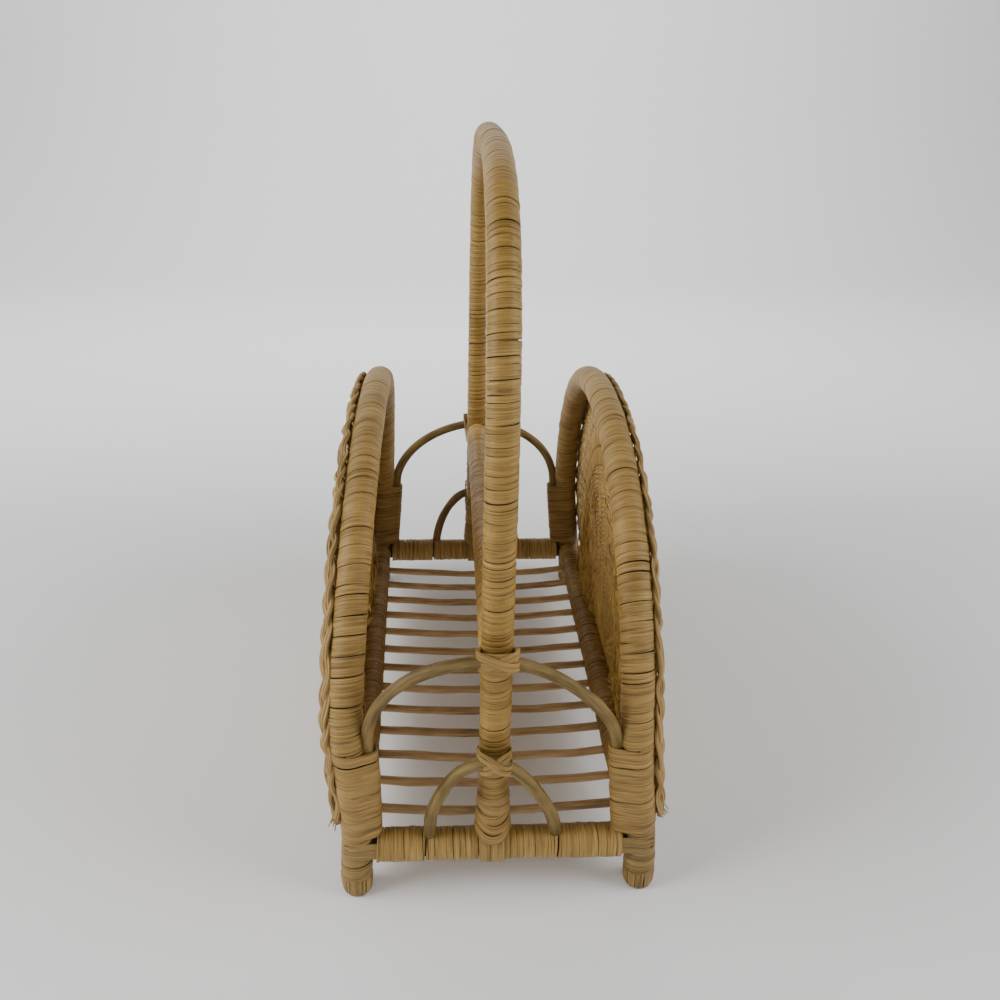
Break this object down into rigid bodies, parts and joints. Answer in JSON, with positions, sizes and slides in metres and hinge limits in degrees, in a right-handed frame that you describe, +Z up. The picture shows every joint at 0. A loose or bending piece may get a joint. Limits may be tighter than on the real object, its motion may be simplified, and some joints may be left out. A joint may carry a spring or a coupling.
{
  "type": "magazine basket",
  "caption": "Long narrow basket of cane-wrapped rattan with leaning arched side panels, a slatted base, a tall central handle hoop, a divider rail and arched ends.",
  "frame": {"origin": "on the floor under the middle of the overall box", "axes": "+Y along the basket from the front end to the rear end, +X to the right seen from the front, +Z up"},
  "size_m": [0.2161, 0.436, 0.4331],
  "materials": {
    "cane_wrap": "flat split cane wound closely, satin",
    "rattan_pole": "peeled rattan pole, dull",
    "rattan_rod": "thin rattan rod, satin",
    "slat_rod": "thin rattan rod, aged brown",
    "cane_lashing": "flat split cane bands, satin",
    "braid": "plaited cane, dull",
    "weave": "fine woven cane, dull"
  },
  "bodies": {
    "root": {"side_hoop_left_core": "rattan_pole", "side_hoop_left_wrap": "cane_wrap", "foot_wrap_front_left": "cane_wrap", "corner_binding_front_left": "cane_lashing", "foot_wrap_rear_left": "cane_wrap", "corner_binding_rear_left": "cane_lashing", "braided_border_left": "braid", "openwork_left": "weave", "chevron_band_left": "weave", "fan_weave_left": "weave", "long_rail_left_core": "rattan_pole", "long_rail_left_wrap": "cane_wrap", "side_hoop_right_core": "rattan_pole", "side_hoop_right_wrap": "cane_wrap", "foot_wrap_front_right": "cane_wrap", "corner_binding_front_right": "cane_lashing", "foot_wrap_rear_right": "cane_wrap", "corner_binding_rear_right": "cane_lashing", "braided_border_right": "braid", "openwork_right": "weave", "chevron_band_right": "weave", "fan_weave_right": "weave", "long_rail_right_core": "rattan_pole", "long_rail_right_wrap": "cane_wrap", "cross_rail_front_core": "rattan_pole", "cross_rail_front_wrap": "cane_wrap", "large_arch_front": "rattan_rod", "lashing_large_front": "cane_lashing", "small_arch_front": "rattan_rod", "lashing_small_front": "cane_lashing", "handle_saddle_front": "cane_lashing", "cross_rail_rear_core": "rattan_pole", "cross_rail_rear_wrap": "cane_wrap", "large_arch_rear": "rattan_rod", "lashing_large_rear": "cane_lashing", "small_arch_rear": "rattan_rod", "lashing_small_rear": "cane_lashing", "handle_saddle_rear": "cane_lashing", "handle_core": "rattan_pole", "handle_wrap": "cane_wrap", "divider_rail_core": "rattan_pole", "divider_rail_wrap": "cane_wrap", "slat_01": "slat_rod", "slat_02": "slat_rod", "slat_03": "slat_rod", "slat_04": "slat_rod", "slat_05": "slat_rod", "slat_06": "slat_rod", "slat_07": "slat_rod", "slat_08": "slat_rod", "slat_09": "slat_rod", "slat_10": "slat_rod", "slat_11": "slat_rod", "slat_12": "slat_rod", "slat_13": "slat_rod"}
  },
  "joints": []
}
